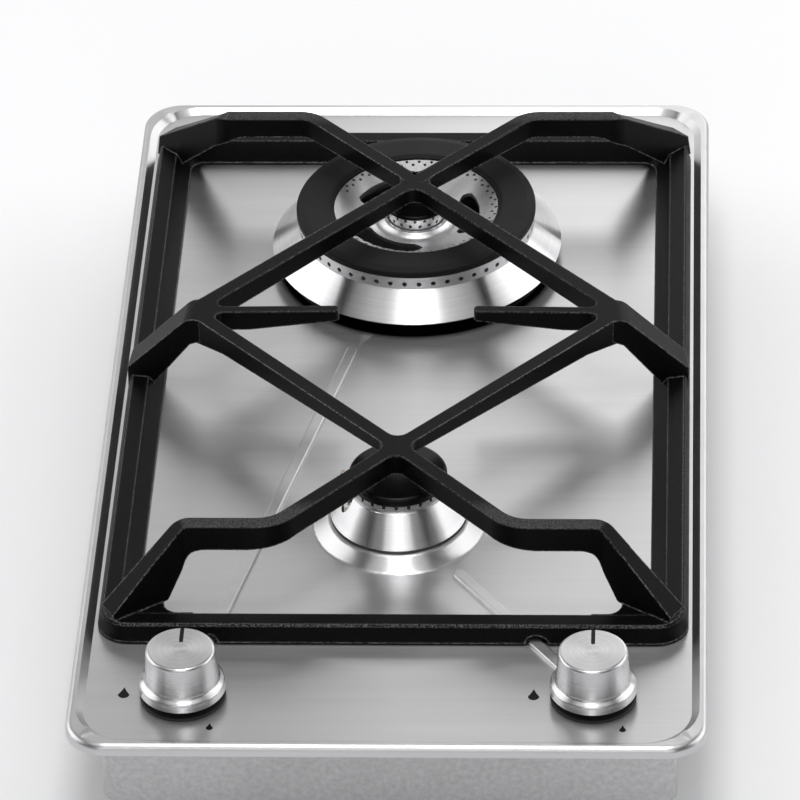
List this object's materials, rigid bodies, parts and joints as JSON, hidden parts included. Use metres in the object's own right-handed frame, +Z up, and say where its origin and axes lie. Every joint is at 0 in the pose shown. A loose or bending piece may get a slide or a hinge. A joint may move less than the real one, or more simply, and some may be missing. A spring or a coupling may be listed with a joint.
{
  "type": "gas hob",
  "caption": "Built-in gas hob with a brushed steel plate, a wok burner, a small burner, a cast-iron pan support and push-and-turn knobs.",
  "frame": {"origin": "centre of the hob's plan, in the plane of the worktop that the rim seal rests on", "axes": "+Z up, +Y from the cook to the back of the hob, +X to the cook's right"},
  "size_m": [0.29, 0.52, 0.1135],
  "materials": {
    "brushed_stainless": "brushed along the width",
    "cast_iron": "matt black enamel with a fine cast grain",
    "polished_aluminium": "turned and polished",
    "cast_aluminium": "as cast, matt",
    "black_enamel": "satin black enamel",
    "satin_knob": "satin turned metal",
    "black_rubber": "matt",
    "seal_foam": "fine closed-cell foam",
    "brass": "machined",
    "copper_probe": "drawn copper alloy",
    "white_ceramic": "fired white",
    "bright_steel": "zinc plated",
    "drawn_tube": "drawn tube",
    "galvanised_sheet": "galvanised",
    "lead_silicone": "silicone sheath",
    "black_plastic": "moulded"
  },
  "bodies": {
    "hob": {"hob_plate": "brushed_stainless", "rear_burner_skirt": "polished_aluminium", "rear_burner_crown": "polished_aluminium", "rear_centre_crown": "polished_aluminium", "front_burner_skirt": "polished_aluminium", "rear_burner_cup": "cast_aluminium", "front_burner_cup": "cast_aluminium", "front_burner_crown": "cast_aluminium", "left_valve_body": "cast_aluminium", "right_valve_body": "cast_aluminium", "left_knob_bezel": "black_rubber", "right_knob_bezel": "black_rubber", "cable_gland": "black_rubber", "rim_gasket": "seal_foam", "rear_injectors": "brass", "front_injector": "brass", "gas_inlet": "brass", "inlet_nut": "brass", "pipe_nuts": "brass", "rear_thermocouple": "copper_probe", "front_thermocouple": "copper_probe", "rear_thermo_lead": "copper_probe", "front_thermo_lead": "copper_probe", "left_magnet_unit": "copper_probe", "right_magnet_unit": "copper_probe", "rear_spark_insulator": "white_ceramic", "front_spark_insulator": "white_ceramic", "rear_spark_pin": "bright_steel", "front_spark_pin": "bright_steel", "cup_screws": "bright_steel", "valve_screws": "bright_steel", "casing_nuts": "bright_steel", "clamp_screws": "bright_steel", "left_valve_cover": "bright_steel", "right_valve_cover": "bright_steel", "gas_manifold": "drawn_tube", "rear_gas_pipe": "drawn_tube", "front_gas_pipe": "drawn_tube", "bottom_casing": "galvanised_sheet", "manifold_clamps": "galvanised_sheet", "rear_spark_lead": "lead_silicone", "front_spark_lead": "lead_silicone", "ignition_generator": "black_plastic"},
    "pan_support": {"pan_support": "cast_iron", "pan_support_feet": "black_rubber"},
    "rear_ring_cap": {"rear_ring_cap": "black_enamel"},
    "rear_centre_cap": {"rear_centre_cap": "black_enamel"},
    "front_burner_cap": {"front_burner_cap": "black_enamel"},
    "left_valve_plug": {"left_valve_plug": "brass", "left_valve_spring": "bright_steel"},
    "left_knob": {"left_knob": "satin_knob", "left_spindle": "bright_steel"},
    "right_valve_plug": {"right_valve_plug": "brass", "right_valve_spring": "bright_steel"},
    "right_knob": {"right_knob": "satin_knob", "right_spindle": "bright_steel"},
    "front_left_clamp": {"front_left_clamp": "galvanised_sheet"},
    "front_right_clamp": {"front_right_clamp": "galvanised_sheet"},
    "rear_left_clamp": {"rear_left_clamp": "galvanised_sheet"},
    "rear_right_clamp": {"rear_right_clamp": "galvanised_sheet"}
  },
  "joints": [
    {"name": "left_knob_turn", "type": "hinge", "parent": "hob", "child": "left_valve_plug", "pos_m": [-0.093, -0.22, 0], "axis": [0, 0, 1], "range_deg": [0, 210]},
    {"name": "left_knob_push", "type": "slide", "parent": "left_valve_plug", "child": "left_knob", "axis": [0, 0, -1], "range_m": [0, 0.003], "stiffness_N_per_m": 1500, "springref_m": -0.002, "deforming": ["left_valve_spring"]},
    {"name": "right_knob_turn", "type": "hinge", "parent": "hob", "child": "right_valve_plug", "pos_m": [0.093, -0.22, 0], "axis": [0, 0, 1], "range_deg": [0, 210]},
    {"name": "right_knob_push", "type": "slide", "parent": "right_valve_plug", "child": "right_knob", "axis": [0, 0, -1], "range_m": [0, 0.003], "stiffness_N_per_m": 1500, "springref_m": -0.002, "deforming": ["right_valve_spring"]},
    {"name": "pan_support_lift", "type": "slide", "parent": "hob", "child": "pan_support", "axis": [0, 0, 1], "range_m": [0, 0.12]},
    {"name": "rear_ring_cap_lift", "type": "slide", "parent": "hob", "child": "rear_ring_cap", "axis": [0, 0, 1], "range_m": [0, 0.003]},
    {"name": "rear_centre_cap_lift", "type": "slide", "parent": "hob", "child": "rear_centre_cap", "axis": [0, 0, 1], "range_m": [0, 0.0012]},
    {"name": "front_cap_lift", "type": "slide", "parent": "hob", "child": "front_burner_cap", "axis": [0, 0, 1], "range_m": [0, 0.0035]},
    {"name": "front_left_clamp_swing", "type": "hinge", "parent": "hob", "child": "front_left_clamp", "pos_m": [-0.1, -0.13, -0.0456], "axis": [0, 0, 1], "range_deg": [0, 90]},
    {"name": "front_right_clamp_swing", "type": "hinge", "parent": "hob", "child": "front_right_clamp", "pos_m": [0.1, -0.13, -0.0456], "axis": [0, 0, -1], "range_deg": [0, 90]},
    {"name": "rear_left_clamp_swing", "type": "hinge", "parent": "hob", "child": "rear_left_clamp", "pos_m": [-0.1, 0.13, -0.0456], "axis": [0, 0, -1], "range_deg": [0, 90]},
    {"name": "rear_right_clamp_swing", "type": "hinge", "parent": "hob", "child": "rear_right_clamp", "pos_m": [0.1, 0.13, -0.0456], "axis": [0, 0, 1], "range_deg": [0, 90]}
  ]
}
